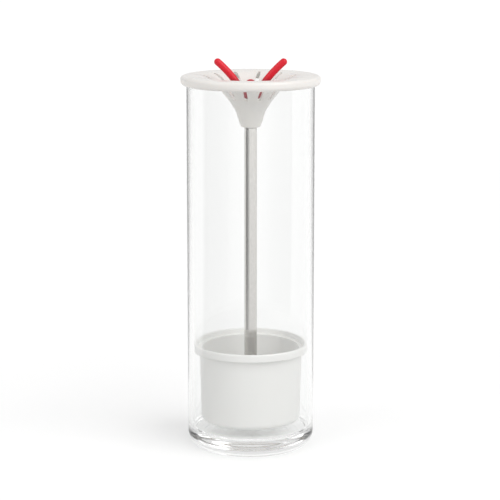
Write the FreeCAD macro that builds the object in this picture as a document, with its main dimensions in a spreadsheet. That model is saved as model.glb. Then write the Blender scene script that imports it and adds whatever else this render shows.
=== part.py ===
import FreeCAD, Part
import math
import os
import re
import Sketcher

# Herb keeper: a glass jar, a lid with a slotted funnel, and a pot hung from the lid on a rod.
# Origin at the bottom centre of the jar, +Z up, the front towards -Y. Millimetres and degrees.

doc = FreeCAD.newDocument("HerbKeeper")

# Driving sizes
sizes = {
    # Glass jar
    "jarDiameter": 80.0,
    "jarHeight": 234.3,
    "jarWall": 3.0,
    "jarFloor": 11.0,
    "jarBaseRound": 10.0,
    "jarInnerRound": 5.0,
    "jarRimRound": 1.2,
    "jarFootWidth": 5.0,
    "jarPunt": 1.0,
    # Lid plate and rim
    "lidPlate": 2.2,
    "rimGap": 0.4,
    "rimWall": 3.2,
    "rimDepth": 6.0,
    "rimTopRound": 2.2,
    "rimBottomRound": 2.8,
    # Funnel
    "ledgeWidth": 1.95,
    "funnelWall": 1.6,
    "funnelDepth": 33.0,
    "shoulderAngle": 41.0,
    "throatAngle": 60.0,
    "spoutAngle": 72.0,
    "throatBend": 10.0,
    "spoutLength": 9.6,
    "spoutRadius": 6.2,
    "spoutEdge": 1.5,
    "seatHeight": 8.0,
    # Funnel slots
    "slotCount": 12,
    "slotWidth": 2.4,
    "slotHigh": 28.4,
    "slotLength": 18.7,
    "slotTilt": 36.0,
    "slotPhase": -10.5,
    # Rod
    "rodDiameter": 8.0,
    "rodChamfer": 0.5,
    "studDiameter": 5.0,
    "studGap": 0.08,
    "threadGap": 0.05,
    "tapDepth": 14.0,
    # Pot
    "potGap": 6.0,
    "potHeight": 50.0,
    "potSideGap": 1.0,
    "potBand": 5.0,
    "potBandWall": 2.0,
    "potBandRound": 0.8,
    "potStep": 3.4,
    "potTaper": 1.2,
    "potWall": 1.8,
    "potFloor": 2.0,
    "potCorner": 3.5,
    "potWeb": 2.5,
    "potRecess": 4.0,
    "potRecessRadius": 9.0,
    "socketDepth": 8.0,
    "socketGap": 0.05,
    "socketWall": 2.2,
    "drainCount": 8,
    "drainDiameter": 5.0,
    "drainCircle": 20.0,
    # Screw and washer under the pot
    "washerRadius": 5.0,
    "washerThickness": 1.0,
    "screwHeadRadius": 4.6,
    "screwHead": 2.6,
    "screwHeadRound": 1.6,
    "screwHoleGap": 0.2,
    "screwReach": 12.0,
    "socketAcross": 3.0,
    "socketSink": 1.5,
    # Grip
    "gripGap": 0.4,
    "plugAngle": 52.0,
    "plugCrown": 16.0,
    "crownDrop": 7.6,
    "knobRadius": 3.7,
    "knobDrop": 2.4,
    "hornRadius": 2.25,
    "hornRootRadius": 7.2,
    "hornRootDrop": 8.38,
    "hornStem": 3.6,
    "hornRootAngle": 90.0,
    "hornBendAngle": 54.0,
    "hornTipAngle": 41.0,
    "hornLowerBend": 6.0,
    "hornUpperBend": 78.8,
    # Domed nut moulded into the grip
    "nutAcross": 8.0,
    "nutHex": 4.0,
    "nutHeight": 10.0,
    "nutDomeRadius": 3.75,
    "nutDrop": 9.2,
    "nutThread": 7.4,
    "studReach": 7.0,
}

sheet = doc.addObject("Spreadsheet::Sheet", "Sizes")
for row, (alias, amount) in enumerate(sizes.items(), start=1):
    sheet.set(f"A{row}", alias)
    sheet.set(f"B{row}", str(amount))
    sheet.setAlias(f"B{row}", alias)
doc.recompute()


# Sizes that follow from the driving ones, as expressions of the sheet
jarRadius = "jarDiameter / 2"
jarBore = "(jarDiameter / 2 - jarWall)"
lidTop = "(jarHeight + lidPlate)"
lidRadius = "(jarDiameter / 2 + rimGap + rimWall)"
mouthRadius = f"({jarBore} - ledgeWidth)"
rodRadius = "rodDiameter / 2"
studRadius = "studDiameter / 2"
spoutBottom = f"({lidTop} - funnelDepth)"
seatLevel = f"({spoutBottom} + seatHeight)"
potBase = "(jarFloor + potGap)"
potTop = f"({potBase} + potHeight)"
recessTop = f"({potBase} + potRecess)"
socketFloor = f"({recessTop} + potWeb)"
bandRadius = f"({jarBore} - potSideGap)"
potRadius = f"({bandRadius} - potStep)"
nutTop = f"({lidTop} - nutDrop)"
nutBase = f"({nutTop} - nutHeight)"
nutShoulder = f"({nutBase} + nutHex)"


def bound(text):
    # Puts the sheet's name before each alias, so that an expression reads as plain sizes
    return re.sub(r"[A-Za-z]\w*", lambda m: "Sizes." + m.group() if m.group() in sizes else m.group(), text)


def value(text):
    return float(sheet.evalExpression(bound(text)))


def along(spot, heading, distance, sign=1):
    # The point at a distance from spot in the direction (cos, sin) of a heading in degrees
    x, z = spot
    mark = "+" if sign > 0 else "-"
    return (f"({x} {mark} ({distance}) * cos({heading}))", f"({z} {mark} ({distance}) * sin({heading}))")


def newBody(label):
    body = doc.addObject("PartDesign::Body", label)
    body.Label = label
    return body


def originPart(body, role):
    return next(item for item in body.Origin.OriginFeatures if item.Role == role)


def place(item, spot, turn="rotation(0; 0; 0)"):
    # Binds where an attached item lies: its point and, if given, how it is turned
    x, y, z = spot
    item.setExpression("AttachmentOffset", bound(f"placement(vector({x}; {y}; {z}); {turn})"))


def newSketch(body, name, role, lift=None):
    sketch = body.newObject("Sketcher::SketchObject", name)
    sketch.AttachmentSupport = [(originPart(body, role), "")]
    sketch.MapMode = "FlatFace"
    if lift:
        sketch.setExpression("AttachmentOffset.Base.z", bound(lift))
    return sketch


def bind(sketch, kind, places, text):
    # Adds one dimension with its value bound to the sheet; a negative one is measured the other way round
    amount = value(text)
    if amount < 0:
        places = places[2:] + places[:2]
        text = f"-({text})"
    index = sketch.addConstraint(Sketcher.Constraint(kind, *places, abs(amount)))
    sketch.renameConstraint(index, f"size{index}")
    sketch.setExpression(f"Constraints.size{index}", bound(text))


def fixPoint(sketch, edge, end, spot):
    # Holds a point at its two distances from the origin, or on an axis where a distance is 0
    for kind, axis, text in (("DistanceX", -2, spot[0]), ("DistanceY", -1, spot[1])):
        if abs(value(text)) < 1e-9:
            sketch.addConstraint(Sketcher.Constraint("PointOnObject", edge, end, axis))
        else:
            bind(sketch, kind, (-1, 1, edge, end), text)


def middleOfArc(start, end, radius, side):
    # The middle of the smaller arc between two points; side 1 bulges to the left of the way there
    chord = end - start
    sagitta = radius - math.sqrt(max(radius ** 2 - (chord.Length / 2) ** 2, 0))
    across = FreeCAD.Vector(-chord.y, chord.x, 0).normalize()
    return (start + end) * 0.5 + across * (sagitta * side)


def drawOutline(sketch, corners, closed=True):
    # Each corner is a point (x, z), or a point, a radius and a side for an arc to the next corner
    corners = [corner if len(corner) == 3 else (corner, None, 0) for corner in corners]
    spots = [FreeCAD.Vector(value(spot[0]), value(spot[1]), 0) for spot, _, _ in corners]
    edgeCount = len(corners) if closed else len(corners) - 1
    ends = []
    for i in range(edgeCount):
        start, end = spots[i], spots[(i + 1) % len(spots)]
        radius, side = corners[i][1:]
        if radius is None:
            edge = sketch.addGeometry(Part.LineSegment(start, end))
            ends.append((edge, 1, 2))
            continue
        middle = middleOfArc(start, end, value(radius), side)
        edge = sketch.addGeometry(Part.Arc(start, middle, end))
        forward = (sketch.getPoint(edge, 1) - start).Length < (sketch.getPoint(edge, 2) - start).Length
        ends.append((edge, 1, 2) if forward else (edge, 2, 1))
        bind(sketch, "Radius", (edge,), radius)
    for i in range(edgeCount if closed else edgeCount - 1):
        edge, _, last = ends[i]
        following, first, _ = ends[(i + 1) % edgeCount]
        sketch.addConstraint(Sketcher.Constraint("Coincident", edge, last, following, first))
    for i, (spot, _, _) in enumerate(corners):
        edge, first, last = ends[i] if i < edgeCount else ends[-1]
        fixPoint(sketch, edge, first if i < edgeCount else last, spot)


def drawCircle(sketch, radius, centre=("0", "0")):
    middle = FreeCAD.Vector(value(centre[0]), value(centre[1]), 0)
    edge = sketch.addGeometry(Part.Circle(middle, FreeCAD.Vector(0, 0, 1), value(radius)))
    bind(sketch, "Radius", (edge,), radius)
    fixPoint(sketch, edge, 3, centre)


def drawHexagon(sketch, across):
    drawOutline(sketch, [(f"{across} / sqrt(3) * cos({60 * k})", f"{across} / sqrt(3) * sin({60 * k})")
                         for k in range(6)])


def drawSlot(sketch, reach, width):
    # A slot along the sketch's X axis; its round ends are centred at the origin and at the reach
    half = value(width) / 2
    up = FreeCAD.Vector(0, half, 0)
    out = FreeCAD.Vector(math.copysign(half, value(reach)), 0, 0)
    far = FreeCAD.Vector(value(reach), 0, 0)
    nearEnd = sketch.addGeometry(Part.Arc(up, -out, -up))
    farEnd = sketch.addGeometry(Part.Arc(far - up, far + out, far + up))
    lower = sketch.addGeometry(Part.LineSegment(-up, far - up))
    upper = sketch.addGeometry(Part.LineSegment(far + up, up))
    for arc, line, lineEnd, spot in ((nearEnd, lower, 1, -up), (farEnd, lower, 2, far - up),
                                     (farEnd, upper, 1, far + up), (nearEnd, upper, 2, up)):
        arcEnd = min((1, 2), key=lambda end: (sketch.getPoint(arc, end) - spot).Length)
        sketch.addConstraint(Sketcher.Constraint("Tangent", arc, arcEnd, line, lineEnd))
    for arc, centre in ((nearEnd, "0"), (farEnd, reach)):
        fixPoint(sketch, arc, 3, (centre, "0"))
        bind(sketch, "Radius", (arc,), f"{width} / 2")


def revolve(body, name, corners, cut=False):
    sketch = newSketch(body, name + "Outline", "XZ_Plane")
    drawOutline(sketch, corners)
    turn = body.newObject("PartDesign::Groove" if cut else "PartDesign::Revolution", name)
    turn.Profile = sketch
    turn.ReferenceAxis = (sketch, ["V_Axis"])
    turn.Angle = 360
    sketch.Visibility = False
    return turn


def pocket(body, name, sketch, depth=None):
    # Cuts through everything both ways, or downwards by a depth from the sketch's plane
    cut = body.newObject("PartDesign::Pocket", name)
    cut.Profile = sketch
    if depth is None:
        cut.Type = "ThroughAll"
        cut.Midplane = True
    else:
        cut.setExpression("Length", bound(depth))
    return cut


def ringOf(body, name, feature, count):
    pattern = body.newObject("PartDesign::PolarPattern", name)
    pattern.Originals = [feature]
    pattern.Axis = (originPart(body, "Z_Axis"), [""])
    pattern.Angle = 360
    pattern.setExpression("Occurrences", bound(count))
    body.Tip = pattern
    return pattern


# Funnel curve: two arcs from the mouth to the throat, a tighter bend, and a straight spout.
# The underside is worked out first. The upper side is offset from it by the wall.
def funnelCurve():
    foot = ("spoutRadius", spoutBottom)
    spoutTop = along(foot, "spoutAngle", "spoutLength")
    bendCentre = along(spoutTop, "spoutAngle - 90", "throatBend")
    throat = along(bendCentre, "throatAngle + 90", "throatBend")
    reach = f"({mouthRadius} - {throat[0]})"
    drop = f"({lidTop} - funnelWall - {throat[1]})"
    firstIn, firstDown = "sin(shoulderAngle)", "(1 - cos(shoulderAngle))"
    nextIn, nextDown = "(sin(throatAngle) - sin(shoulderAngle))", "(cos(shoulderAngle) - cos(throatAngle))"
    share = f"({firstIn} * {nextDown} - {firstDown} * {nextIn})"
    return {
        "foot": foot,
        "bendCentre": bendCentre,
        "mouthBend": f"(({reach} * {nextDown} - {drop} * {nextIn}) / {share})",
        "bodyBend": f"(({drop} * {firstIn} - {reach} * {firstDown}) / {share})",
    }


funnel = funnelCurve()
mouthCentre = (mouthRadius, f"({lidTop} - funnelWall - {funnel['mouthBend']})")
bodyCentre = along(mouthCentre, "shoulderAngle - 90", f"{funnel['bodyBend']} - {funnel['mouthBend']}")


def funnelSpots(offset):
    # Radii and joints of the curve at an offset above the underside
    mouthBend = f"({funnel['mouthBend']} + {offset})"
    bodyBend = f"({funnel['bodyBend']} + {offset})"
    throatBend = f"(throatBend + {offset})"
    return {
        "mouthBend": mouthBend,
        "bodyBend": bodyBend,
        "throatBend": throatBend,
        "mouth": (mouthRadius, f"({mouthCentre[1]} + {mouthBend})"),
        "shoulder": along(mouthCentre, "shoulderAngle + 90", mouthBend),
        "throat": along(funnel["bendCentre"], "throatAngle + 90", throatBend),
        "spoutTop": along(funnel["bendCentre"], "spoutAngle + 90", throatBend),
    }


def spoutRadiusAt(spots, level):
    # Radius of the straight spout's wall at a height
    x, z = spots["spoutTop"]
    return f"({x} - ({z} - {level}) / tan(spoutAngle))"


# Glass jar: one wall, a heavy base with a shallow punt, and a fire-rounded rim
def makeJar():
    body = newBody("glass_jar")
    footOuter = f"({jarRadius} - jarBaseRound)"
    footInner = f"({footOuter} - jarFootWidth)"
    revolve(body, "Glass", [
        (("0", "jarPunt"), f"({footInner} ^ 2 + jarPunt ^ 2) / (2 * jarPunt)", 1),
        (footInner, "0"),
        ((footOuter, "0"), "jarBaseRound", -1),
        (jarRadius, "jarBaseRound"),
        ((jarRadius, "jarHeight - jarRimRound"), "jarRimRound", -1),
        (f"{jarRadius} - jarRimRound", "jarHeight"),
        ((f"{jarBore} + jarRimRound", "jarHeight"), "jarRimRound", -1),
        (jarBore, "jarHeight - jarRimRound"),
        ((jarBore, "jarFloor + jarInnerRound"), "jarInnerRound", 1),
        (f"{jarBore} - jarInnerRound", "jarFloor"),
        ("0", "jarFloor"),
    ])
    return body


# Lid: flat ring with a rounded rim that drops over the glass, and the slotted funnel
def makeLid():
    body = newBody("funnel_lid")
    under, upper = funnelSpots("0"), funnelSpots("funnelWall")
    bore = f"({studRadius} + studGap)"
    edgeRun = "spoutEdge * tan(spoutAngle / 2)"
    rimBore = f"({lidRadius} - rimWall)"
    rimBottom = f"({lidTop} - rimDepth)"
    revolve(body, "LidShell", [
        (bore, spoutBottom),
        ((f"spoutRadius - {edgeRun}", spoutBottom), "spoutEdge", -1),
        along(funnel["foot"], "spoutAngle", edgeRun),
        (under["spoutTop"], under["throatBend"], 1),
        (under["throat"], under["bodyBend"], 1),
        (under["shoulder"], under["mouthBend"], 1),
        under["mouth"],
        (rimBore, "jarHeight"),
        (rimBore, rimBottom),
        ((f"{lidRadius} - rimBottomRound", rimBottom), "rimBottomRound", -1),
        (lidRadius, f"{rimBottom} + rimBottomRound"),
        ((lidRadius, f"{lidTop} - rimTopRound"), "rimTopRound", -1),
        (f"{lidRadius} - rimTopRound", lidTop),
        (upper["mouth"], upper["mouthBend"], -1),
        (upper["shoulder"], upper["bodyBend"], -1),
        (upper["throat"], upper["throatBend"], -1),
        upper["spoutTop"],
        (spoutRadiusAt(upper, seatLevel), seatLevel),
        (bore, seatLevel),
    ])
    # The slots are cut square to a plane that leans with the funnel and ends in the lid's top plane
    slot = newSketch(body, "SlotOutline", "XY_Plane")
    place(slot, ("slotHigh * cos(slotPhase - 90)", "slotHigh * sin(slotPhase - 90)", lidTop),
          "rotation(vector(0; 0; 1); slotPhase - 90) * rotation(vector(0; 1; 0); -slotTilt)")
    drawSlot(slot, "-slotLength", "slotWidth")
    ringOf(body, "Slots", pocket(body, "Slot", slot), "slotCount")
    return body


# Rod: round bar, turned down to a threaded stud at the top and tapped at the bottom
def makeRod():
    body = newBody("carrier_rod")
    tapRadius = f"({studRadius} + threadGap)"
    studTop = f"({nutBase} + studReach)"
    revolve(body, "Bar", [
        (tapRadius, socketFloor),
        (f"{rodRadius} - rodChamfer", socketFloor),
        (rodRadius, f"{socketFloor} + rodChamfer"),
        (rodRadius, f"{spoutBottom} - rodChamfer"),
        (f"{rodRadius} - rodChamfer", spoutBottom),
        (studRadius, spoutBottom),
        (studRadius, f"{studTop} - rodChamfer"),
        (f"{studRadius} - rodChamfer", studTop),
        ("0", studTop),
        ("0", f"{socketFloor} + tapDepth"),
        (tapRadius, f"{socketFloor} + tapDepth"),
    ])
    return body


# Pot: tapered cup with a standing band at its mouth, a socket for the rod and drain holes
def makePot():
    body = newBody("herb_pot")
    bandBottom = f"({potTop} - potBand)"
    footRadius = f"({potRadius} - potTaper)"
    floorTop = f"({potBase} + potFloor)"
    innerCorner = "(potCorner - potWall)"
    bossRadius = f"({rodRadius} + socketGap + socketWall)"
    ledge = f"({bandBottom} + potWall)"
    bandBore = f"({bandRadius} - potBandWall)"
    webTop = socketFloor
    revolve(body, "Cup", [
        (f"{studRadius} + screwHoleGap", recessTop),
        ("potRecessRadius", recessTop),
        ("potRecessRadius", potBase),
        ((f"{footRadius} - potCorner", potBase), "potCorner", -1),
        (footRadius, f"{potBase} + potCorner"),
        (potRadius, bandBottom),
        ((f"{bandRadius} - potBandRound", bandBottom), "potBandRound", -1),
        (bandRadius, f"{bandBottom} + potBandRound"),
        ((bandRadius, f"{potTop} - potBandRound"), "potBandRound", -1),
        (f"{bandRadius} - potBandRound", potTop),
        ((f"{bandBore} + potBandRound", potTop), "potBandRound", -1),
        (bandBore, f"{potTop} - potBandRound"),
        (bandBore, ledge),
        (f"{potRadius} - potWall", ledge),
        ((f"{footRadius} - potWall", f"{floorTop} + {innerCorner}"), innerCorner, 1),
        (f"{footRadius} - potWall - {innerCorner}", floorTop),
        ("potRecessRadius + potFloor", floorTop),
        ("potRecessRadius + potFloor", webTop),
        (bossRadius, webTop),
        (bossRadius, f"{webTop} + socketDepth"),
        (f"{rodRadius} + socketGap", f"{webTop} + socketDepth"),
        (f"{rodRadius} + socketGap", webTop),
        (f"{studRadius} + screwHoleGap", webTop),
    ])
    hole = newSketch(body, "DrainOutline", "XY_Plane", potBase)
    drawCircle(hole, "drainDiameter / 2", ("drainCircle", "0"))
    ringOf(body, "Drains", pocket(body, "Drain", hole), "drainCount")
    return body


# Washer under the pot's web
def makeWasher():
    body = newBody("pot_washer")
    bottom = f"({recessTop} - washerThickness)"
    bore = f"{studRadius} + screwHoleGap"
    revolve(body, "Disc", [(bore, bottom), ("washerRadius", bottom), ("washerRadius", recessTop),
                           (bore, recessTop)])
    return body


# Button-head screw up through the washer and the pot into the rod
def makeScrew():
    body = newBody("pot_screw")
    seat = f"({recessTop} - washerThickness)"
    bottom = f"({seat} - screwHead)"
    tip = f"({socketFloor} + screwReach)"
    revolve(body, "Screw", [
        ("0", bottom),
        (("screwHeadRadius - screwHeadRound", bottom), "screwHeadRound", -1),
        ("screwHeadRadius", f"{bottom} + screwHeadRound"),
        ("screwHeadRadius", seat),
        (studRadius, seat),
        (studRadius, f"{tip} - rodChamfer"),
        (f"{studRadius} - rodChamfer", tip),
        ("0", tip),
    ])
    drive = newSketch(body, "DriveOutline", "XY_Plane", bottom)
    drawHexagon(drive, "socketAcross")
    cut = pocket(body, "Drive", drive, "socketSink")
    cut.Reversed = True
    return body


# Domed nut, moulded into the grip under its knob
def makeNut():
    body = newBody("dome_nut")
    hexagon = newSketch(body, "HexOutline", "XY_Plane", nutBase)
    drawHexagon(hexagon, "nutAcross")
    prism = body.newObject("PartDesign::Pad", "Hex")
    prism.Profile = hexagon
    prism.setExpression("Length", bound("nutHex"))
    revolve(body, "Dome", [
        ("0", f"{nutBase} + nutHex / 2"),
        ("nutDomeRadius", f"{nutBase} + nutHex / 2"),
        (("nutDomeRadius", f"{nutTop} - nutDomeRadius"), "nutDomeRadius", -1),
        ("0", nutTop),
    ])
    bore = f"{studRadius} + threadGap"
    revolve(body, "Thread", [("0", nutBase), (bore, nutBase), (bore, f"{nutBase} + nutThread"),
                             ("0", f"{nutBase} + nutThread")], cut=True)
    return body


def addHorn(body, name, hand):
    # A round bar swept up and outwards from the plug, with a ball for its tip; hand is 1 right or -1 left
    root = ("hornRootRadius", f"({lidTop} - hornRootDrop)")
    stem = along(root, "hornRootAngle", "hornStem", sign=-1)
    lowerCentre = along(root, "hornRootAngle - 90", "hornLowerBend")
    bend = along(lowerCentre, "hornBendAngle + 90", "hornLowerBend")
    upperCentre = along(bend, "hornBendAngle - 90", "hornUpperBend")
    tip = along(upperCentre, "hornTipAngle + 90", "hornUpperBend")
    stem, root, bend, tip = [(f"{hand} * {x}", z) for x, z in (stem, root, bend, tip)]
    spine = newSketch(body, name + "HornSpine", "XZ_Plane")
    bends = [(root, "hornLowerBend", hand), (bend, "hornUpperBend", hand)]
    drawOutline(spine, [stem, *bends, tip], closed=False)
    section = newSketch(body, name + "HornSection", "XY_Plane")
    place(section, (stem[0], "0", stem[1]), f"rotation(vector(0; 1; 0); {hand} * (90 - hornRootAngle))")
    drawCircle(section, "hornRadius")
    horn = body.newObject("PartDesign::AdditivePipe", name + "Horn")
    horn.Profile = section
    horn.Spine = (spine, ["Edge1", "Edge2", "Edge3"])
    ball = body.newObject("PartDesign::AdditiveSphere", name + "HornTip")
    ball.AttachmentSupport = [(originPart(body, "XY_Plane"), "")]
    ball.MapMode = "FlatFace"
    ball.setExpression("Radius", bound("hornRadius"))
    place(ball, (tip[0], "0", tip[1]))


# Grip: a plug that fills the bottom of the funnel, with a round knob and two horns to hold
def makeGrip():
    body = newBody("horn_grip")
    side = funnelSpots("funnelWall + gripGap")
    edge = along(bodyCentre, "plugAngle + 90", side["bodyBend"])
    bore = f"{studRadius} + studGap"
    knobTop = f"({lidTop} - knobDrop)"
    revolve(body, "Plug", [
        (bore, seatLevel),
        (spoutRadiusAt(side, seatLevel), seatLevel),
        (side["spoutTop"], side["throatBend"], 1),
        (side["throat"], side["bodyBend"], 1),
        (edge, "plugCrown", -1),
        ("knobRadius", f"{lidTop} - crownDrop"),
        (("knobRadius", f"{knobTop} - knobRadius"), "knobRadius", -1),
        ("0", knobTop),
        (("0", nutTop), "nutDomeRadius", 1),
        ("nutDomeRadius", f"{nutTop} - nutDomeRadius"),
        ("nutDomeRadius", nutBase),
        (bore, nutBase),
    ])
    for name, hand in (("Right", 1), ("Left", -1)):
        addHorn(body, name, hand)
    hexHole = newSketch(body, "HexHole", "XY_Plane", nutShoulder)
    drawHexagon(hexHole, "nutAcross")
    pocket(body, "HexSeat", hexHole, "nutHex")
    return body


bodies = [make() for make in (makeJar, makeLid, makeRod, makePot, makeWasher, makeScrew, makeNut, makeGrip)]
doc.recompute()

faults = [item.Label for item in doc.Objects if {"Invalid", "Error"} & set(item.State)]
for body in bodies:
    if body.Shape.isNull() or not body.Shape.isValid() or len(body.Shape.Solids) != 1:
        faults.append(body.Label)
if faults:
    raise RuntimeError("these did not build: " + ", ".join(faults))

os.makedirs("parts", exist_ok=True)
for body in bodies:
    box = body.Shape.optimalBoundingBox(False)
    print(f"{body.Label:12} volume {body.Shape.Volume:9.1f}  x {box.XMin:7.2f} to {box.XMax:6.2f}  "
          f"z {box.ZMin:7.2f} to {box.ZMax:7.2f}")
    body.Shape.exportStep(os.path.join("parts", body.Label + ".step"))
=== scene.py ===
import math

import bmesh
import bpy
from mathutils import Matrix, Vector


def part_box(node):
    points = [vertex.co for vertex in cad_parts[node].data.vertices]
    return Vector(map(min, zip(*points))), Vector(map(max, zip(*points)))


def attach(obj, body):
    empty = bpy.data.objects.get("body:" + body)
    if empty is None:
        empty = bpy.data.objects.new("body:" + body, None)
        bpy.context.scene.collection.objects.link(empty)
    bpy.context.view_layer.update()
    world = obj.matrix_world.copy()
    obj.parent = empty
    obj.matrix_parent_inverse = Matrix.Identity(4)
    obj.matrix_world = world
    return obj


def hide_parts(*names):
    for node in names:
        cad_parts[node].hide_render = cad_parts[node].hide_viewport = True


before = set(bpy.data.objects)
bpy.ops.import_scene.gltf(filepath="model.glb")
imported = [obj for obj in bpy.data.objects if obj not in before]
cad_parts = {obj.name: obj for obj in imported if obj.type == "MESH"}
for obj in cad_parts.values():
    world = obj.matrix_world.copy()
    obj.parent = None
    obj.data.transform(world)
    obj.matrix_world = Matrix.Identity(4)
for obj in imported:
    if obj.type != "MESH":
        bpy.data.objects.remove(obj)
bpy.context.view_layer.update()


# Places that the frame gives, in metres
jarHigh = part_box("glass_jar")[1]
lidLow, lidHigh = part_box("funnel_lid")
potLow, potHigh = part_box("herb_pot")
rodLow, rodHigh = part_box("carrier_rod")
nutLow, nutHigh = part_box("dome_nut")
jarRadius, jarTop = jarHigh.x, jarHigh.z
lidTop, spoutBottom = lidHigh.z, lidLow.z

# Spots closer than these are welded into one
outlineWeld, latheWeld = 1e-7, 1e-6


# Drawing, turning and cutting

def along(spot, heading, distance):
    turn = math.radians(heading)
    return spot[0] + distance * math.cos(turn), spot[1] + distance * math.sin(turn)


def drawOutline(bm, corners, closed, steps):
    # A corner is (x, z), or (x, z, radius, side) where an arc runs on from it; side 1 bulges left of the way
    first = last = bm.verts.new((corners[0][0], 0, corners[0][1]))
    following = corners[1:] + (corners[:1] if closed else [])
    for here, there in zip(corners, following):
        end = Vector((there[0], 0, there[1]))
        if len(here) == 4:
            chord = end - last.co
            angle = 2 * math.asin(min(chord.length / 2 / here[2], 1))
            across = Vector((-chord.z, 0, chord.x)).normalized()
            centre = (last.co + end) / 2 - across * (here[3] * here[2] * math.cos(angle / 2))
            count = max(2, round(steps * math.degrees(angle) / 90))
            swung = bmesh.ops.spin(bm, geom=[last], cent=centre, axis=(0, 1, 0), angle=here[3] * angle,
                                   steps=count, use_merge=False)
            last = next(item for item in swung["geom_last"] if isinstance(item, bmesh.types.BMVert))
            last.co = end
        elif there is corners[0] and closed:
            bm.edges.new((last, first))
            last = first
        else:
            fresh = bm.verts.new(end)
            bm.edges.new((last, fresh))
            last = fresh


def latheMesh(corners, closed=True, steps=8, around=192):
    bm = bmesh.new()
    drawOutline(bm, corners, closed, steps)
    bmesh.ops.remove_doubles(bm, verts=bm.verts, dist=outlineWeld)
    bmesh.ops.spin(bm, geom=bm.verts[:] + bm.edges[:], cent=(0, 0, 0), axis=(0, 0, 1), angle=math.tau,
                   steps=around, use_merge=True)
    bmesh.ops.remove_doubles(bm, verts=bm.verts, dist=latheWeld)
    bmesh.ops.recalc_face_normals(bm, faces=bm.faces)
    return bm


def meshObject(bm, name):
    mesh = bpy.data.meshes.new(name)
    bm.to_mesh(mesh)
    bm.free()
    holder = bpy.data.objects.new(name, mesh)
    bpy.context.scene.collection.objects.link(holder)
    return holder


def joinInto(bm, part):
    # Copies one mesh into another
    mesh = bpy.data.meshes.new("passing")
    part.to_mesh(mesh)
    part.free()
    bm.from_mesh(mesh)
    bpy.data.meshes.remove(mesh)


def cutAway(bm, tools):
    # Takes the tools out of a mesh and hands back what is left
    blank, cutter = meshObject(bm, "uncut"), meshObject(tools, "cutter")
    cut = blank.modifiers.new("cut", "BOOLEAN")
    cut.operation = "DIFFERENCE"
    cut.solver = "EXACT"
    cut.object = cutter
    bpy.context.view_layer.update()
    result = bpy.data.meshes.new_from_object(blank.evaluated_get(bpy.context.evaluated_depsgraph_get()))
    fresh = bmesh.new()
    fresh.from_mesh(result)
    for item in (blank, cutter):
        bpy.data.objects.remove(item)
    bpy.data.meshes.remove(result)
    return fresh


def finishPiece(bm, name, body, node, material, sharpest=35):
    piece = meshObject(bm, name)
    for face in piece.data.polygons:
        face.use_smooth = True
    piece.data.set_sharp_from_angle(angle=math.radians(sharpest))
    piece.data.materials.append(material)
    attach(piece, body)
    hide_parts(node)


# Shader helpers

def newMaterial(name):
    material = bpy.data.materials.new(name)
    material.use_nodes = True
    tree = material.node_tree
    return material, tree.nodes, tree.links, tree.nodes["Principled BSDF"]


def anyRay(nodes, links, kinds):
    # One for a ray of any of these kinds, else nought
    path = nodes.new("ShaderNodeLightPath")
    last = path.outputs[kinds[0]]
    for kind in kinds[1:]:
        either = nodes.new("ShaderNodeMath")
        either.operation = "MAXIMUM"
        links.new(last, either.inputs[0])
        links.new(path.outputs[kind], either.inputs[1])
        last = either.outputs[0]
    return last


sheenSizes = {
    "broadDetail": 3, "fineDetail": 4,
    "maskFrom": 0.3, "maskTo": 0.7,  # nearly all of the mask lies between these
    "lift": 0.0001,
}


def makeUnevenSheen():
    # Slight unevenness of a polished or moulded surface, a broad drift with a fine grain in it
    group = bpy.data.node_groups.new("unevenSheen", "ShaderNodeTree")
    for label in ("Broad Scale", "Fine Scale", "Fine Share"):
        group.interface.new_socket(label, in_out="INPUT", socket_type="NodeSocketFloat")
    group.interface.new_socket("Mask", in_out="OUTPUT", socket_type="NodeSocketFloat")
    nodes, links = group.nodes, group.links
    taken, given = nodes.new("NodeGroupInput"), nodes.new("NodeGroupOutput")
    place = nodes.new("ShaderNodeTexCoord")
    broad, fine = nodes.new("ShaderNodeTexNoise"), nodes.new("ShaderNodeTexNoise")
    broad.inputs["Detail"].default_value = sheenSizes["broadDetail"]
    fine.inputs["Detail"].default_value = sheenSizes["fineDetail"]
    mix = nodes.new("ShaderNodeMix")
    links.new(place.outputs["Object"], broad.inputs["Vector"])
    links.new(place.outputs["Object"], fine.inputs["Vector"])
    links.new(taken.outputs["Broad Scale"], broad.inputs["Scale"])
    links.new(taken.outputs["Fine Scale"], fine.inputs["Scale"])
    links.new(taken.outputs["Fine Share"], mix.inputs[0])
    links.new(broad.outputs["Fac"], mix.inputs[2])
    links.new(fine.outputs["Fac"], mix.inputs[3])
    links.new(mix.outputs[0], given.inputs["Mask"])
    return group


unevenSheen = makeUnevenSheen()


def addSheen(nodes, links, shader, finish):
    # The mask runs the roughness between the finish's two ends and lifts the surface a little
    sheen = nodes.new("ShaderNodeGroup")
    sheen.node_tree = unevenSheen
    sheen.inputs["Broad Scale"].default_value = finish["broad"]
    sheen.inputs["Fine Scale"].default_value = finish["fine"]
    sheen.inputs["Fine Share"].default_value = finish["fineShare"]
    spread = nodes.new("ShaderNodeMapRange")
    spread.inputs["From Min"].default_value = sheenSizes["maskFrom"]
    spread.inputs["From Max"].default_value = sheenSizes["maskTo"]
    spread.inputs["To Min"].default_value, spread.inputs["To Max"].default_value = finish["roughness"]
    lift = nodes.new("ShaderNodeBump")
    lift.inputs["Strength"].default_value = finish["bump"]
    lift.inputs["Distance"].default_value = sheenSizes["lift"]
    links.new(sheen.outputs["Mask"], spread.inputs["Value"])
    links.new(spread.outputs["Result"], shader.inputs["Roughness"])
    links.new(sheen.outputs["Mask"], lift.inputs["Height"])
    links.new(lift.outputs["Normal"], shader.inputs["Normal"])
    return sheen


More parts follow.
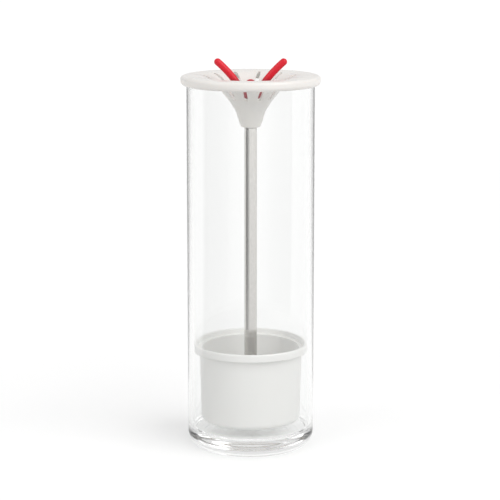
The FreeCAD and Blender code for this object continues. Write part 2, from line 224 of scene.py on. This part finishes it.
def makeMoulded(name, finish):
    # Moulded plastic or rubber: two close tones, a little light under the skin, and the sheen
    # On a colour Mix node, inputs 6 and 7 are the two colours and output 2 is the result
    material, nodes, links, shader = newMaterial(name)
    shader.inputs["IOR"].default_value = finish["ior"]
    shader.inputs["Subsurface Weight"].default_value = finish["underWeight"]
    shader.inputs["Subsurface Radius"].default_value = finish["underColour"]
    shader.inputs["Subsurface Scale"].default_value = finish["underDepth"]
    sheen = addSheen(nodes, links, shader, finish)
    tone = nodes.new("ShaderNodeMix")
    tone.data_type = "RGBA"
    tone.inputs[6].default_value = (*finish["deep"], 1)
    tone.inputs[7].default_value = (*finish["light"], 1)
    links.new(sheen.outputs["Mask"], tone.inputs[0])
    links.new(tone.outputs[2], shader.inputs["Base Color"])
    return material


def paintShadeBelow(material, finish):
    # Painted shade: the colour goes over to a deeper red from one height down to another, standing in for
    # the shade low in the funnel
    nodes, links = material.node_tree.nodes, material.node_tree.links
    shader = nodes["Principled BSDF"]
    place, parts = nodes.new("ShaderNodeTexCoord"), nodes.new("ShaderNodeSeparateXYZ")
    depth = nodes.new("ShaderNodeMapRange")
    depth.interpolation_type = "SMOOTHSTEP"
    depth.inputs["From Min"].default_value = finish["shadeFrom"]
    depth.inputs["From Max"].default_value = finish["shadeTo"]
    mix = nodes.new("ShaderNodeMix")
    mix.data_type = "RGBA"
    mix.inputs[7].default_value = (*finish["shadeColour"], 1)
    links.new(place.outputs["Object"], parts.inputs["Vector"])
    links.new(parts.outputs["Z"], depth.inputs["Value"])
    links.new(depth.outputs["Result"], mix.inputs[0])
    links.new(shader.inputs["Base Color"].links[0].from_socket, mix.inputs[6])
    links.new(mix.outputs[2], shader.inputs["Base Color"])


def makeSteel(name, finish):
    material, nodes, links, shader = newMaterial(name)
    shader.inputs["Base Color"].default_value = (*finish["colour"], 1)
    shader.inputs["Metallic"].default_value = 1
    addSheen(nodes, links, shader, finish)
    return material


# Glass jar

jar = {
    "wall": 0.003,
    "floor": 0.011,
    "baseRound": 0.010,
    "innerRound": 0.005,
    "rimRound": 0.0012,
    "footWidth": 0.005,
    "punt": 0.001,
    "finish": {
        "ior": 1.48,
        "tint": (0.97, 0.973, 0.97),
        "shadowTint": (0.96, 0.963, 0.96),
        "broad": 18, "fine": 260, "fineShare": 0.15,
        "roughness": (0.0, 0.004),
        "bump": 0.1,
    },
}


def makeGlass():
    # Shadow and diffuse rays pass straight through, as thin clear glass throws hardly any shadow
    finish = jar["finish"]
    material, nodes, links, shader = newMaterial("clearGlass")
    shader.inputs["Base Color"].default_value = (*finish["tint"], 1)
    shader.inputs["Transmission Weight"].default_value = 1
    shader.inputs["IOR"].default_value = finish["ior"]
    addSheen(nodes, links, shader, finish)
    passing = nodes.new("ShaderNodeBsdfTransparent")
    passing.inputs["Color"].default_value = (*finish["shadowTint"], 1)
    blend = nodes.new("ShaderNodeMixShader")
    links.new(anyRay(nodes, links, ("Is Shadow Ray", "Is Diffuse Ray")), blend.inputs["Fac"])
    links.new(shader.outputs["BSDF"], blend.inputs[1])
    links.new(passing.outputs["BSDF"], blend.inputs[2])
    links.new(blend.outputs["Shader"], nodes["Material Output"].inputs["Surface"])
    return material


def makeJar():
    bore = jarRadius - jar["wall"]
    footOuter = jarRadius - jar["baseRound"]
    footInner = footOuter - jar["footWidth"]
    puntRadius = (footInner ** 2 + jar["punt"] ** 2) / (2 * jar["punt"])
    bm = latheMesh([
        (0, jar["punt"], puntRadius, 1),
        (footInner, 0),
        (footOuter, 0, jar["baseRound"], -1),
        (jarRadius, jar["baseRound"]),
        (jarRadius, jarTop - jar["rimRound"], jar["rimRound"], -1),
        (jarRadius - jar["rimRound"], jarTop),
        (bore + jar["rimRound"], jarTop, jar["rimRound"], -1),
        (bore, jarTop - jar["rimRound"]),
        (bore, jar["floor"] + jar["innerRound"], jar["innerRound"], 1),
        (bore - jar["innerRound"], jar["floor"]),
        (0, jar["floor"]),
    ], closed=False, steps=12, around=256)
    finishPiece(bm, "jarGlass", "jar", "glass_jar", makeGlass(), sharpest=50)


makeJar()
print("jar made")


# Funnel lid

lid = {
    "rimGap": 0.0004,
    "rimWall": 0.0032,
    "rimDepth": 0.006,
    "rimTopRound": 0.0022,
    "rimBottomRound": 0.0028,
    "ledge": 0.00195,
    "wall": 0.0016,
    "shoulderAngle": 41,
    "throatAngle": 60,
    "spoutAngle": 72,
    "throatBend": 0.010,
    "spoutLength": 0.0096,
    "spoutRadius": 0.0062,
    "spoutEdge": 0.0015,
    "seatHeight": 0.008,
    "bore": 0.00258,
    "slots": 12,
    "slotWidth": 0.0024,
    "slotHigh": 0.0284,
    "slotLength": 0.0187,
    "slotTilt": 36,
    "slotPhase": -10.5,
    "slotDeep": 0.008,
    "finish": {
        "deep": (0.80, 0.775, 0.745), "light": (0.835, 0.81, 0.78),
        "ior": 1.49,
        "underWeight": 0.15, "underColour": (1.0, 0.9, 0.8), "underDepth": 0.002,
        "broad": 45, "fine": 2600, "fineShare": 0.35,
        "roughness": (0.24, 0.34),
        "bump": 0.02,
    },
}


def funnelCurve(offset):
    # The spots and bends of the funnel's curve, at an offset above its underside
    mouthRadius = jarRadius - jar["wall"] - lid["ledge"]
    foot = (lid["spoutRadius"], spoutBottom)
    spoutTop = along(foot, lid["spoutAngle"], lid["spoutLength"])
    bendCentre = along(spoutTop, lid["spoutAngle"] - 90, lid["throatBend"])
    throat = along(bendCentre, lid["throatAngle"] + 90, lid["throatBend"])
    shoulder, steep = math.radians(lid["shoulderAngle"]), math.radians(lid["throatAngle"])
    reach = mouthRadius - throat[0]
    drop = lidTop - lid["wall"] - throat[1]
    firstIn, firstDown = math.sin(shoulder), 1 - math.cos(shoulder)
    nextIn, nextDown = math.sin(steep) - math.sin(shoulder), math.cos(shoulder) - math.cos(steep)
    share = firstIn * nextDown - firstDown * nextIn
    mouthBend = (reach * nextDown - drop * nextIn) / share
    bodyBend = (drop * firstIn - reach * firstDown) / share
    mouthCentre = (mouthRadius, lidTop - lid["wall"] - mouthBend)
    return {
        "mouth": (mouthRadius, mouthCentre[1] + mouthBend + offset),
        "shoulder": along(mouthCentre, lid["shoulderAngle"] + 90, mouthBend + offset),
        "throat": along(bendCentre, lid["throatAngle"] + 90, lid["throatBend"] + offset),
        "spoutTop": along(bendCentre, lid["spoutAngle"] + 90, lid["throatBend"] + offset),
        "mouthBend": mouthBend + offset,
        "bodyBend": bodyBend + offset,
        "throatBend": lid["throatBend"] + offset,
        "bodyCentre": along(mouthCentre, lid["shoulderAngle"] - 90, bodyBend - mouthBend),
    }


def spoutRadiusAt(curve, level):
    x, z = curve["spoutTop"]
    return x - (z - level) / math.tan(math.radians(lid["spoutAngle"]))


seatLevel = spoutBottom + lid["seatHeight"]


def makeSlotBars():
    # A ring of bars with round ends, square to a plane that leans with the funnel and ends in the lid's top
    bars = bmesh.new()
    half, length = lid["slotWidth"] / 2, lid["slotLength"]
    corners = [(-length, -half), (0, -half, half, -1), (0, half), (-length, half, half, -1)]
    for k in range(lid["slots"]):
        bar = bmesh.new()
        drawOutline(bar, corners, closed=True, steps=6)
        bmesh.ops.remove_doubles(bar, verts=bar.verts, dist=outlineWeld)
        bmesh.ops.contextual_create(bar, geom=bar.edges[:])
        bmesh.ops.rotate(bar, verts=bar.verts, cent=(0, 0, 0), matrix=Matrix.Rotation(math.pi / 2, 3, "X"))
        bmesh.ops.translate(bar, verts=bar.verts, vec=(0, 0, -lid["slotDeep"]))
        raised = bmesh.ops.extrude_face_region(bar, geom=bar.faces[:])["geom"]
        tops = [item for item in raised if isinstance(item, bmesh.types.BMVert)]
        bmesh.ops.translate(bar, verts=tops, vec=(0, 0, 2 * lid["slotDeep"]))
        turn = math.radians(lid["slotPhase"] - 90) + k * math.tau / lid["slots"]
        place = (Matrix.Rotation(turn, 4, "Z") @ Matrix.Translation((lid["slotHigh"], 0, lidTop))
                 @ Matrix.Rotation(math.radians(-lid["slotTilt"]), 4, "Y"))
        bmesh.ops.transform(bar, matrix=place, verts=bar.verts)
        bmesh.ops.recalc_face_normals(bar, faces=bar.faces)
        joinInto(bars, bar)
    return bars


def makeLid():
    under, upper = funnelCurve(0), funnelCurve(lid["wall"])
    rimBore = jarRadius + lid["rimGap"]
    lidRadius = rimBore + lid["rimWall"]
    rimBottom = lidTop - lid["rimDepth"]
    edgeRun = lid["spoutEdge"] * math.tan(math.radians(lid["spoutAngle"] / 2))
    bm = latheMesh([
        (lid["bore"], spoutBottom),
        (lid["spoutRadius"] - edgeRun, spoutBottom, lid["spoutEdge"], -1),
        along((lid["spoutRadius"], spoutBottom), lid["spoutAngle"], edgeRun),
        (*under["spoutTop"], under["throatBend"], 1),
        (*under["throat"], under["bodyBend"], 1),
        (*under["shoulder"], under["mouthBend"], 1),
        under["mouth"],
        (rimBore, jarTop),
        (rimBore, rimBottom),
        (lidRadius - lid["rimBottomRound"], rimBottom, lid["rimBottomRound"], -1),
        (lidRadius, rimBottom + lid["rimBottomRound"]),
        (lidRadius, lidTop - lid["rimTopRound"], lid["rimTopRound"], -1),
        (lidRadius - lid["rimTopRound"], lidTop),
        (*upper["mouth"], upper["mouthBend"], -1),
        (*upper["shoulder"], upper["bodyBend"], -1),
        (*upper["throat"], upper["throatBend"], -1),
        upper["spoutTop"],
        (spoutRadiusAt(upper, seatLevel), seatLevel),
        (lid["bore"], seatLevel),
    ], steps=14, around=240)
    bm = cutAway(bm, makeSlotBars())
    material = makeMoulded("whiteMoulded", lid["finish"])
    finishPiece(bm, "lidShell", "lid", "funnel_lid", material)


makeLid()
print("lid made")


# Rod

rod = {
    "diameter": 0.008,
    "stud": 0.005,
    "tap": 0.0051,
    "tapDepth": 0.014,
    "chamfer": 0.0005,
    "finish": {
        "colour": (0.62, 0.605, 0.585),
        "broad": 90, "fine": 3000, "fineShare": 0.5,
        "roughness": (0.09, 0.15),
        "bump": 0.03,
    },
}


def makeRod():
    bar, stud, tap, edge = rod["diameter"] / 2, rod["stud"] / 2, rod["tap"] / 2, rod["chamfer"]
    bm = latheMesh([
        (tap, rodLow.z),
        (bar - edge, rodLow.z),
        (bar, rodLow.z + edge),
        (bar, spoutBottom - edge),
        (bar - edge, spoutBottom),
        (stud, spoutBottom),
        (stud, rodHigh.z - edge),
        (stud - edge, rodHigh.z),
        (0, rodHigh.z),
        (0, rodLow.z + rod["tapDepth"]),
        (tap, rodLow.z + rod["tapDepth"]),
    ], around=96)
    material = makeSteel("polishedSteel", rod["finish"])
    finishPiece(bm, "rodBar", "basket", "carrier_rod", material)


makeRod()
print("rod made")


# Pot

pot = {
    "band": 0.005,
    "bandWall": 0.002,
    "bandRound": 0.0008,
    "step": 0.0034,
    "taper": 0.0012,
    "wall": 0.0018,
    "floor": 0.002,
    "corner": 0.0035,
    "recess": 0.004,
    "recessRadius": 0.009,
    "socketDepth": 0.008,
    "socketGap": 0.00005,
    "socketWall": 0.0022,
    "screwHole": 0.0027,
    "drains": 8,
    "drainRadius": 0.0025,
    "drainCircle": 0.020,
    "drainCut": 0.01,
    "finish": {
        "deep": (0.865, 0.86, 0.845), "light": (0.895, 0.89, 0.875),
        "ior": 1.49,
        "underWeight": 0.15, "underColour": (1.0, 0.95, 0.9), "underDepth": 0.002,
        "broad": 35, "fine": 2000, "fineShare": 0.35,
        "roughness": (0.30, 0.42),
        "bump": 0.03,
    },
}


def makePot():
    base, top = potLow.z, potHigh.z
    bandRadius = potHigh.x
    radius = bandRadius - pot["step"]
    foot = radius - pot["taper"]
    bandBottom = top - pot["band"]
    bandBore = bandRadius - pot["bandWall"]
    ledge = bandBottom + pot["wall"]
    inner = pot["corner"] - pot["wall"]
    socket = rod["diameter"] / 2 + pot["socketGap"]
    boss = socket + pot["socketWall"]
    webTop = rodLow.z
    hub = pot["recessRadius"] + pot["floor"]
    bm = latheMesh([
        (pot["screwHole"], base + pot["recess"]),
        (pot["recessRadius"], base + pot["recess"]),
        (pot["recessRadius"], base),
        (foot - pot["corner"], base, pot["corner"], -1),
        (foot, base + pot["corner"]),
        (radius, bandBottom),
        (bandRadius - pot["bandRound"], bandBottom, pot["bandRound"], -1),
        (bandRadius, bandBottom + pot["bandRound"]),
        (bandRadius, top - pot["bandRound"], pot["bandRound"], -1),
        (bandRadius - pot["bandRound"], top),
        (bandBore + pot["bandRound"], top, pot["bandRound"], -1),
        (bandBore, top - pot["bandRound"]),
        (bandBore, ledge),
        (radius - pot["wall"], ledge),
        (foot - pot["wall"], base + pot["floor"] + inner, inner, 1),
        (foot - pot["wall"] - inner, base + pot["floor"]),
        (hub, base + pot["floor"]),
        (hub, webTop),
        (boss, webTop),
        (boss, webTop + pot["socketDepth"]),
        (socket, webTop + pot["socketDepth"]),
        (socket, webTop),
        (pot["screwHole"], webTop),
    ], around=192)
    pins = bmesh.new()
    for k in range(pot["drains"]):
        x, y = along((0, 0), k * 360 / pot["drains"], pot["drainCircle"])
        bmesh.ops.create_cone(pins, cap_ends=True, segments=32, radius1=pot["drainRadius"],
                              radius2=pot["drainRadius"], depth=pot["drainCut"],
                              matrix=Matrix.Translation((x, y, base)))
    bm = cutAway(bm, pins)
    material = makeMoulded("potMoulded", pot["finish"])
    finishPiece(bm, "potCup", "basket", "herb_pot", material)


makePot()
print("pot made")


# Grip

grip = {
    "gap": 0.0004,
    "plugAngle": 52,
    "plugCrown": 0.016,
    "crownDrop": 0.0076,
    "knobRadius": 0.0037,
    "knobDrop": 0.0024,
    "hornRadius": 0.00225,
    "rootRadius": 0.0072,
    "rootDrop": 0.00838,
    "stem": 0.0036,
    "rootAngle": 90,
    "bendAngle": 54,
    "tipAngle": 41,
    "lowerBend": 0.006,
    "upperBend": 0.0788,
    "lowerSteps": 8, "upperSteps": 10,
    "tipRings": 8,
    "tipClose": 0.02,  # what the last ring of a horn's tip is shrunk to
    "nutDome": 0.00375,
    "nutHex": 0.004,
    "nutCorner": 0.00466,
    "finish": {
        "deep": (0.69, 0.005, 0.020), "light": (0.74, 0.009, 0.028),
        # painted shade: a deeper red from the lid's top downward, for the shade low in the funnel
        "shadeColour": (0.25, 0.001, 0.010), "shadeFrom": lidTop, "shadeTo": lidTop - 0.0055,
        "ior": 1.45,
        "underWeight": 0.12, "underColour": (1.0, 0.25, 0.2), "underDepth": 0.0015,
        "broad": 70, "fine": 3000, "fineShare": 0.5,
        "roughness": (0.34, 0.46),
        "bump": 0.05,
    },
}


def makeHorn(hand):
    # A disc pushed up along the horn's line and closed with a ball; hand is 1 right or -1 left
    root = (grip["rootRadius"], lidTop - grip["rootDrop"])
    stem = along(root, grip["rootAngle"], -grip["stem"])
    lower = along(root, grip["rootAngle"] - 90, grip["lowerBend"])
    bend = along(lower, grip["bendAngle"] + 90, grip["lowerBend"])
    upper = along(bend, grip["bendAngle"] - 90, grip["upperBend"])
    tip = along(upper, grip["tipAngle"] + 90, grip["upperBend"])
    horn = bmesh.new()
    start = (Matrix.Translation((stem[0], 0, stem[1]))
             @ Matrix.Rotation(math.radians(90 - grip["rootAngle"]), 4, "Y"))
    bmesh.ops.create_circle(horn, cap_ends=True, radius=grip["hornRadius"], segments=40, matrix=start)
    raised = bmesh.ops.extrude_face_region(horn, geom=horn.faces[:])["geom"]
    rim = [item for item in raised if isinstance(item, bmesh.types.BMVert)]
    bmesh.ops.translate(horn, verts=rim, vec=(root[0] - stem[0], 0, root[1] - stem[1]))
    face = [item for item in raised if isinstance(item, bmesh.types.BMFace)]
    for centre, turn, steps in ((lower, grip["rootAngle"] - grip["bendAngle"], grip["lowerSteps"]),
                                (upper, grip["bendAngle"] - grip["tipAngle"], grip["upperSteps"])):
        swung = bmesh.ops.spin(horn, geom=face, cent=(centre[0], 0, centre[1]), axis=(0, 1, 0),
                               angle=math.radians(turn), steps=steps, use_merge=False)
        face = [item for item in swung["geom_last"] if isinstance(item, bmesh.types.BMFace)]
    lean = math.radians(grip["tipAngle"])
    direction = Vector((math.cos(lean), 0, math.sin(lean)))
    rings = grip["tipRings"]
    for k in range(rings):
        before, after = math.pi / 2 * k / rings, math.pi / 2 * (k + 1) / rings
        raised = bmesh.ops.extrude_face_region(horn, geom=face)["geom"]
        rim = [item for item in raised if isinstance(item, bmesh.types.BMVert)]
        face = [item for item in raised if isinstance(item, bmesh.types.BMFace)]
        rise = direction * grip["hornRadius"] * (math.sin(after) - math.sin(before))
        bmesh.ops.translate(horn, verts=rim, vec=rise)
        middle = Vector((tip[0], 0, tip[1])) + direction * grip["hornRadius"] * math.sin(after)
        size = math.cos(after) / math.cos(before) if k < rings - 1 else grip["tipClose"]
        bmesh.ops.scale(horn, verts=rim, vec=(size, size, size), space=Matrix.Translation(-middle))
    if hand < 0:
        bmesh.ops.rotate(horn, verts=horn.verts, cent=(0, 0, 0), matrix=Matrix.Rotation(math.pi, 3, "Z"))
    bmesh.ops.recalc_face_normals(horn, faces=horn.faces)
    return horn


def makeGrip():
    side = funnelCurve(lid["wall"] + grip["gap"])
    edge = along(side["bodyCentre"], grip["plugAngle"] + 90, side["bodyBend"])
    knob, dome = grip["knobRadius"], grip["nutDome"]
    knobTop = lidTop - grip["knobDrop"]
    nutShoulder = nutLow.z + grip["nutHex"]
    bm = latheMesh([
        (lid["bore"], seatLevel),
        (spoutRadiusAt(side, seatLevel), seatLevel),
        (*side["spoutTop"], side["throatBend"], 1),
        (*side["throat"], side["bodyBend"], 1),
        (*edge, grip["plugCrown"], -1),
        (knob, lidTop - grip["crownDrop"]),
        (knob, knobTop - knob, knob, -1),
        (0, knobTop),
        (0, nutHigh.z, dome, 1),
        (dome, nutHigh.z - dome),
        (dome, nutShoulder),
        (grip["nutCorner"], nutShoulder),
        (grip["nutCorner"], nutLow.z),
        (lid["bore"], nutLow.z),
    ], steps=12, around=160)
    for hand in (1, -1):
        joinInto(bm, makeHorn(hand))
    material = makeMoulded("redSilicone", grip["finish"])
    # Painted shade darkens the plug and knob low in the funnel
    paintShadeBelow(material, grip["finish"])
    finishPiece(bm, "gripBody", "basket", "horn_grip", material)


makeGrip()
print("grip made")


# Nut, washer and screw keep their own solids

fasteners = {
    "nodes": ("dome_nut", "pot_washer", "pot_screw"),
    "finish": {
        "colour": (0.55, 0.54, 0.53),
        "broad": 200, "fine": 4000, "fineShare": 0.5,
        "roughness": (0.14, 0.26),
        "bump": 0.03,
    },
}

fastenerSteel = makeSteel("fastenerSteel", fasteners["finish"])
for node in fasteners["nodes"]:
    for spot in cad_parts[node].material_slots:
        spot.material = fastenerSteel
print("fasteners finished")


# Floor, flag, light and camera

glowKinds = ("Is Camera Ray", "Is Transmission Ray", "Is Glossy Ray")

ground = {
    "half": 8.0,
    "colour": 0.78,
    "roughness": 0.9,
    "glowNear": 0.245, "glowFar": 0.51,
    "farReach": 3.0,
}


def makeFloorMaterial():
    # What is seen of the floor glows, more so further out, so that it is white and still takes the shadow
    material, nodes, links, shader = newMaterial("paleFloor")
    shader.inputs["Base Color"].default_value = (ground["colour"],) * 3 + (1,)
    shader.inputs["Roughness"].default_value = ground["roughness"]
    shader.inputs["Specular IOR Level"].default_value = 0
    place, reach = nodes.new("ShaderNodeTexCoord"), nodes.new("ShaderNodeVectorMath")
    reach.operation = "LENGTH"
    spread = nodes.new("ShaderNodeMapRange")
    spread.inputs["From Max"].default_value = ground["farReach"]
    spread.inputs["To Min"].default_value = ground["glowNear"]
    spread.inputs["To Max"].default_value = ground["glowFar"]
    level = nodes.new("ShaderNodeMath")
    level.operation = "MULTIPLY"
    glow = nodes.new("ShaderNodeEmission")
    both = nodes.new("ShaderNodeAddShader")
    links.new(place.outputs["Object"], reach.inputs[0])
    links.new(reach.outputs["Value"], spread.inputs["Value"])
    links.new(anyRay(nodes, links, glowKinds), level.inputs[0])
    links.new(spread.outputs["Result"], level.inputs[1])
    links.new(level.outputs[0], glow.inputs["Strength"])
    links.new(shader.outputs["BSDF"], both.inputs[0])
    links.new(glow.outputs["Emission"], both.inputs[1])
    links.new(both.outputs["Shader"], nodes["Material Output"].inputs["Surface"])
    return material


def makeFloor():
    bm = bmesh.new()
    bmesh.ops.create_grid(bm, x_segments=1, y_segments=1, size=ground["half"])
    floor = meshObject(bm, "floor")
    floor.data.materials.append(makeFloorMaterial())


cloth = {
    "height": 0.0005,
    "near": 0.10, "full": 0.5, "far": 4.0,
    "thinnest": 0.3,
    "front": 270, "from": 176, "to": 262,
    "fade": 60,
    "shade": 0.2,
    "roughness": 0.9,
}


def makeFlagMaterial():
    # Only mirrored rays find the cloth, and it fades towards the front and towards the object
    material, nodes, links, shader = newMaterial("darkCloth")
    shader.inputs["Base Color"].default_value = (cloth["shade"],) * 3 + (1,)
    shader.inputs["Roughness"].default_value = cloth["roughness"]
    path, mirrored = nodes.new("ShaderNodeLightPath"), nodes.new("ShaderNodeMath")
    mirrored.operation = "GREATER_THAN"
    mirrored.inputs[1].default_value = 0.5  # a depth of one or more
    place, turned = nodes.new("ShaderNodeTexCoord"), nodes.new("ShaderNodeVectorMath")
    turned.operation = "SCALE"
    turned.inputs["Scale"].default_value = -1
    parts, bearing = nodes.new("ShaderNodeSeparateXYZ"), nodes.new("ShaderNodeMath")
    bearing.operation = "ARCTAN2"
    start = cloth["front"] - cloth["to"]
    fade = nodes.new("ShaderNodeMapRange")
    fade.interpolation_type = "SMOOTHSTEP"
    fade.inputs["From Min"].default_value = math.radians(start)
    fade.inputs["From Max"].default_value = math.radians(start + cloth["fade"])
    reach, thicken = nodes.new("ShaderNodeVectorMath"), nodes.new("ShaderNodeMapRange")
    reach.operation = "LENGTH"
    thicken.inputs["From Min"].default_value = cloth["near"]
    thicken.inputs["From Max"].default_value = cloth["full"]
    thicken.inputs["To Min"].default_value = cloth["thinnest"]
    share, total = nodes.new("ShaderNodeMath"), nodes.new("ShaderNodeMath")
    share.operation = total.operation = "MULTIPLY"
    clear = nodes.new("ShaderNodeBsdfTransparent")
    choose = nodes.new("ShaderNodeMixShader")
    links.new(path.outputs["Glossy Depth"], mirrored.inputs[0])
    links.new(place.outputs["Object"], turned.inputs[0])
    links.new(turned.outputs["Vector"], parts.inputs["Vector"])
    links.new(parts.outputs["X"], bearing.inputs[0])
    links.new(parts.outputs["Y"], bearing.inputs[1])
    links.new(bearing.outputs[0], fade.inputs["Value"])
    links.new(mirrored.outputs[0], share.inputs[0])
    links.new(fade.outputs["Result"], share.inputs[1])
    links.new(place.outputs["Object"], reach.inputs[0])
    links.new(reach.outputs["Value"], thicken.inputs["Value"])
    links.new(share.outputs[0], total.inputs[0])
    links.new(thicken.outputs["Result"], total.inputs[1])
    links.new(total.outputs[0], choose.inputs["Fac"])
    links.new(clear.outputs["BSDF"], choose.inputs[1])
    links.new(shader.outputs["BSDF"], choose.inputs[2])
    links.new(choose.outputs["Shader"], nodes["Material Output"].inputs["Surface"])
    return material


def makeFlag():
    # A dark cloth flat on the floor, left of the object, for the band in the rod and the grey in the glass
    bm = bmesh.new()
    start, end = (bm.verts.new((*along((0, 0), cloth["from"], cloth[reach]), cloth["height"]))
                  for reach in ("near", "far"))
    edge = bm.edges.new((start, end))
    bmesh.ops.spin(bm, geom=[start, end, edge], cent=(0, 0, 0), axis=(0, 0, 1),
                   angle=math.radians(cloth["to"] - cloth["from"]), steps=24, use_merge=False)
    bmesh.ops.recalc_face_normals(bm, faces=bm.faces)
    flag = meshObject(bm, "flag")
    flag.visible_diffuse = flag.visible_shadow = False
    flag.data.materials.append(makeFlagMaterial())


world = {"lightLevel": 0.66, "shownLevel": 0.8}


def makeWorld():
    # One level of white lights the object, and another is what the camera, the glass and mirror images show
    studio = bpy.data.worlds.new("studio")
    bpy.context.scene.world = studio
    studio.use_nodes = True
    nodes, links = studio.node_tree.nodes, studio.node_tree.links
    light, shown = nodes["Background"], nodes.new("ShaderNodeBackground")
    light.inputs["Strength"].default_value = world["lightLevel"]
    shown.inputs["Strength"].default_value = world["shownLevel"]
    light.inputs["Color"].default_value = shown.inputs["Color"].default_value = (1, 1, 1, 1)
    choose = nodes.new("ShaderNodeMixShader")
    links.new(anyRay(nodes, links, glowKinds), choose.inputs["Fac"])
    links.new(light.outputs["Background"], choose.inputs[1])
    links.new(shown.outputs["Background"], choose.inputs[2])
    links.new(choose.outputs["Shader"], nodes["World Output"].inputs["Surface"])


lamps = {
    "keyLight": {"place": (1.8, -1.6, 2.3), "size": 2.8, "power": 56},
    "fillLight": {"place": (-2.0, -1.6, 1.4), "size": 1.6, "power": 12},
}
lampAim = (0, 0, 0.13)


def makeLamp(name, lamp):
    light = bpy.data.lights.new(name, "AREA")
    light.shape = "SQUARE"
    light.size = lamp["size"]
    light.energy = lamp["power"]
    holder = bpy.data.objects.new(name, light)
    bpy.context.scene.collection.objects.link(holder)
    holder.location = lamp["place"]
    holder.rotation_mode = "QUATERNION"
    holder.rotation_quaternion = (Vector(lampAim) - Vector(lamp["place"])).to_track_quat("-Z", "Y")


camera = {
    "side": -0.0004,
    "distance": 1.180,
    "height": 0.356,
    "pitch": 11.02,
    "focalPixels": 1906, "photoPixels": 500,
    "sensor": 36,
}


def makeCamera():
    eye = bpy.data.cameras.new("camera")
    eye.sensor_width = camera["sensor"]
    eye.lens = camera["sensor"] * camera["focalPixels"] / camera["photoPixels"]
    holder = bpy.data.objects.new("camera", eye)
    bpy.context.scene.collection.objects.link(holder)
    holder.location = (camera["side"], -camera["distance"], camera["height"])
    holder.rotation_euler = (math.radians(90 - camera["pitch"]), 0, 0)
    bpy.context.scene.camera = holder


lightBounces = 32  # light goes round in the glass many times

makeFloor()
makeFlag()
makeWorld()
for name, lamp in lamps.items():
    makeLamp(name, lamp)
makeCamera()
cycles = bpy.context.scene.cycles
cycles.max_bounces = cycles.transparent_max_bounces = lightBounces
cycles.glossy_bounces = cycles.transmission_bounces = lightBounces
bpy.context.scene.view_settings.view_transform = "Standard"
print("stage made")
